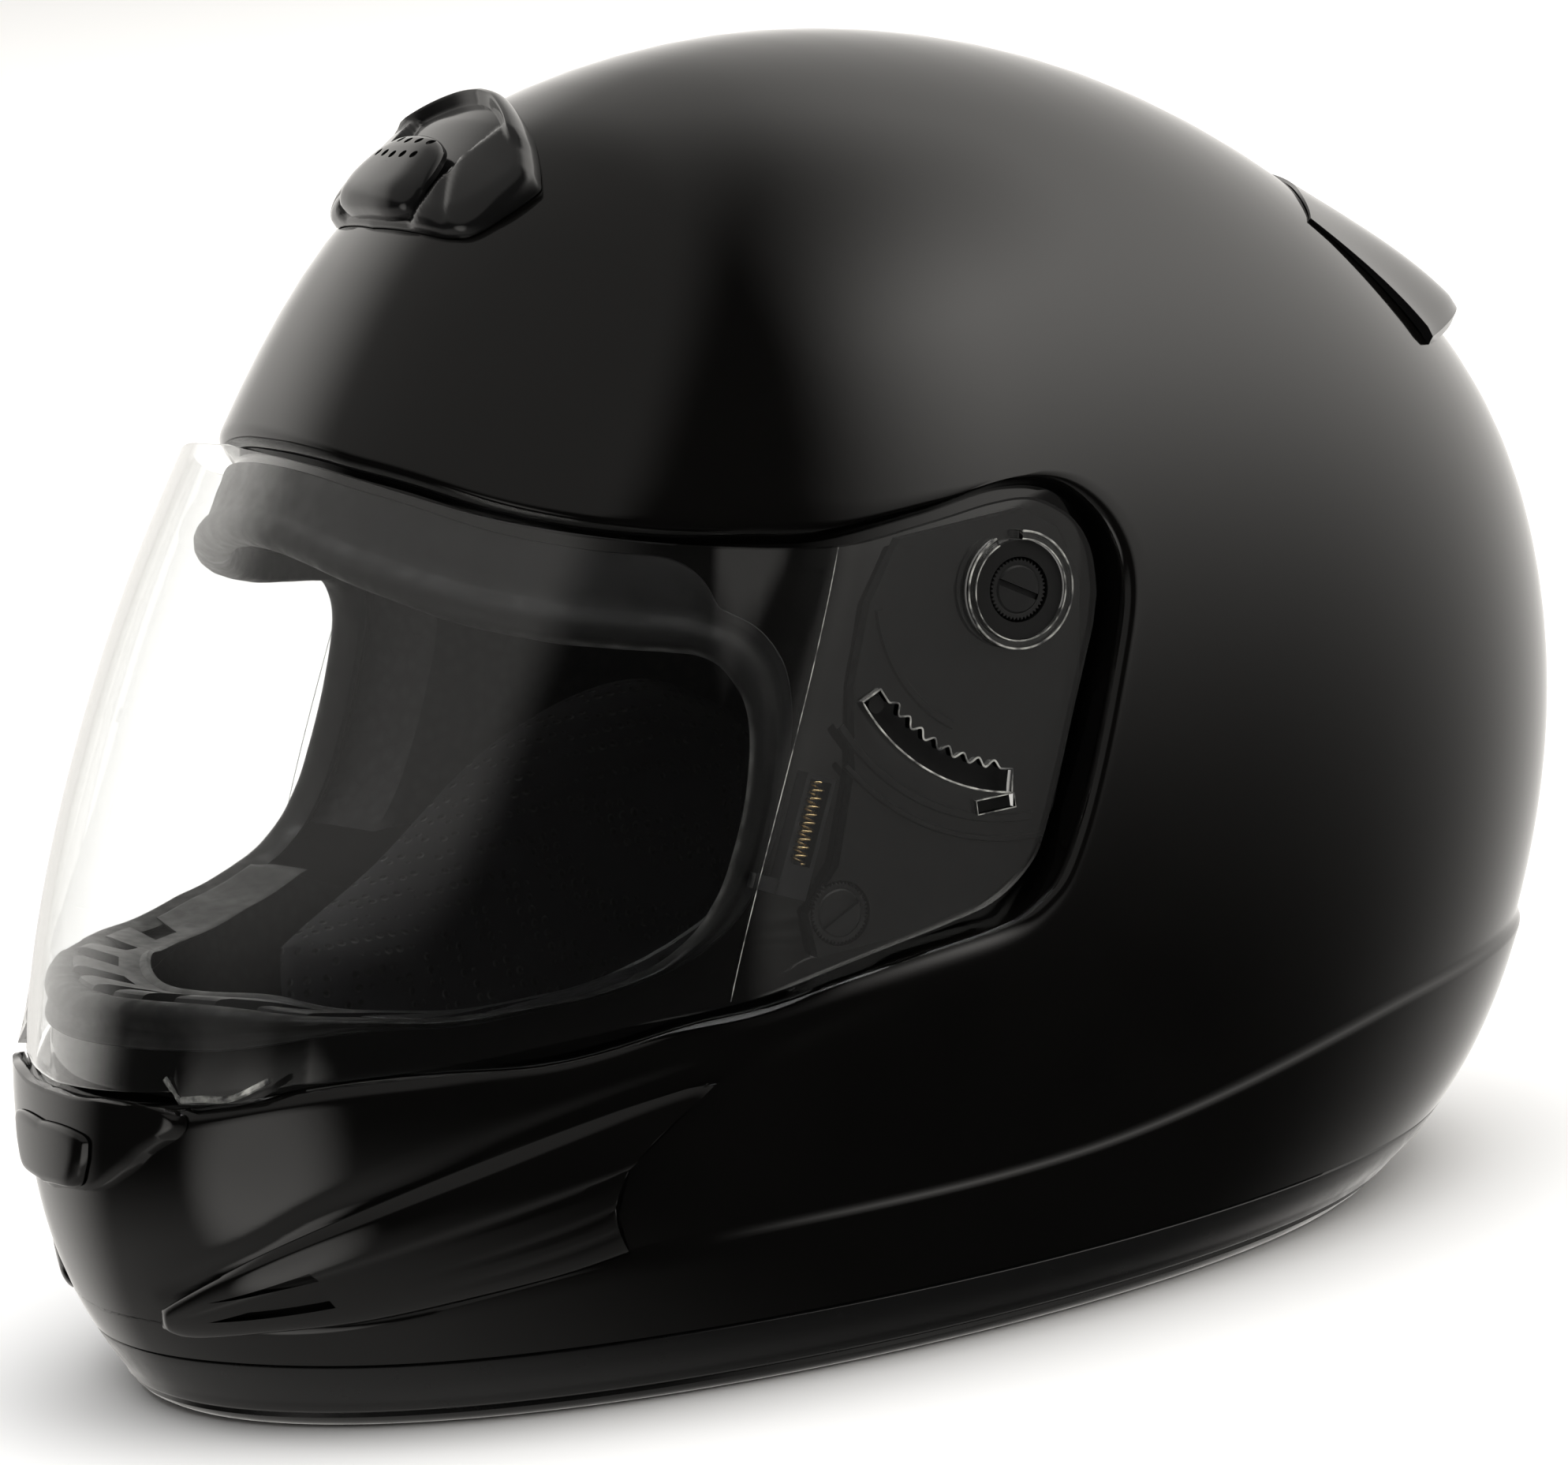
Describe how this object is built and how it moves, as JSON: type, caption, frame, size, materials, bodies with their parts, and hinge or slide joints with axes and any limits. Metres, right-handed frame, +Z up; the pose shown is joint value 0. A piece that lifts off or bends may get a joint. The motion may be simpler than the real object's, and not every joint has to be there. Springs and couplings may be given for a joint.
{
  "type": "motorcycle helmet",
  "caption": "Full-face motorcycle helmet with flip-up clear visor on side pivots, crown, chin, side and rear vents, foam liner, pads and D-ring chin strap.",
  "frame": {"origin": "middle of the helmet's outline on the surface it stands on, which is the plane of its rim", "axes": "+Z up to the crown, -Y the way the face opening looks, +X to the rider's left"},
  "size_m": [0.2494, 0.3447, 0.2573],
  "materials": {
    "gloss_shell": "high-gloss black lacquered polycarbonate",
    "gloss_vents": "gloss black moulded plastic",
    "edge_trim": "semi-gloss black flexible edge strip",
    "seal_rubber": "matt black extruded rubber",
    "satin_plastic": "satin black injection-moulded nylon",
    "clear_visor": "clear hard-coated polycarbonate with polished edges",
    "brass_fittings": "bare brass",
    "steel": "zinc-plated steel",
    "foam": "black expanded polystyrene beads",
    "lining_fabric": "black brushed mesh knit over foam",
    "webbing": "black woven nylon webbing"
  },
  "bodies": {
    "helmet": {"outer_shell": "gloss_shell", "lower_edge_trim": "edge_trim", "eyeport_gasket": "seal_rubber", "chin_top_trim": "satin_plastic", "base_plate_left": "satin_plastic", "base_plate_right": "satin_plastic", "base_plate_screws": "satin_plastic", "insert_nuts": "brass_fittings", "lever_spring_left": "brass_fittings", "lever_spring_right": "brass_fittings", "top_vent_cover": "gloss_vents", "chin_vent_frame": "gloss_vents", "side_vent_left": "gloss_vents", "side_vent_right": "gloss_vents", "rear_vent_cover": "gloss_vents", "impact_liner": "foam", "chin_liner": "foam", "crown_pad": "lining_fabric", "cheek_pad_left": "lining_fabric", "cheek_pad_right": "lining_fabric", "neck_roll": "lining_fabric", "pad_snaps": "satin_plastic", "chin_strap_left": "webbing", "chin_strap_right": "webbing", "strap_sleeve_left": "lining_fabric", "strap_sleeve_right": "lining_fabric", "strap_anchor_plates": "steel", "strap_rivets": "steel", "strap_snap": "satin_plastic"},
    "visor_panel": {"visor": "clear_visor"},
    "top_slider": {"top_vent_slider": "gloss_vents"},
    "chin_shutter": {"chin_vent_shutter": "gloss_vents"},
    "lever_left": {"release_lever_left": "satin_plastic"},
    "lever_right": {"release_lever_right": "satin_plastic"},
    "lower_ring": {"d_ring_lower": "steel"},
    "upper_ring": {"d_ring_upper": "steel"}
  },
  "joints": [
    {"name": "visor_hinge", "type": "hinge", "parent": "helmet", "child": "visor_panel", "pos_m": [0, 0.003, 0.151], "axis": [-1, 0, 0], "range_deg": [0, 50]},
    {"name": "top_vent_slide", "type": "slide", "parent": "helmet", "child": "top_slider", "axis": [0, 0.8189, 0.5739], "range_m": [0, 0.006]},
    {"name": "chin_vent_hinge", "type": "hinge", "parent": "helmet", "child": "chin_shutter", "pos_m": [0, -0.1732, 0.0555], "axis": [1, 0, 0], "range_deg": [0, 18]},
    {"name": "lever_left_slide", "type": "slide", "parent": "helmet", "child": "lever_left", "axis": [0, -0.4108, -0.9117], "range_m": [0, 0.003], "stiffness_N_per_m": 250, "deforming": ["lever_spring_left"]},
    {"name": "lever_right_slide", "type": "slide", "parent": "helmet", "child": "lever_right", "axis": [0, -0.4108, -0.9117], "range_m": [0, 0.003], "stiffness_N_per_m": 250, "deforming": ["lever_spring_right"]},
    {"name": "upper_ring_hinge", "type": "hinge", "parent": "helmet", "child": "upper_ring", "pos_m": [-0.04, 0.004, 0.0077], "axis": [0, -1, 0], "range_deg": [0, 140]},
    {"name": "lower_ring_hinge", "type": "hinge", "parent": "helmet", "child": "lower_ring", "pos_m": [-0.04, 0.004, 0.0029], "axis": [0, -1, 0], "range_deg": [0, 21]}
  ],
  "couplings": [
    {"joint": "lower_ring_hinge", "follows": "upper_ring_hinge", "ratio": 0.15}
  ]
}
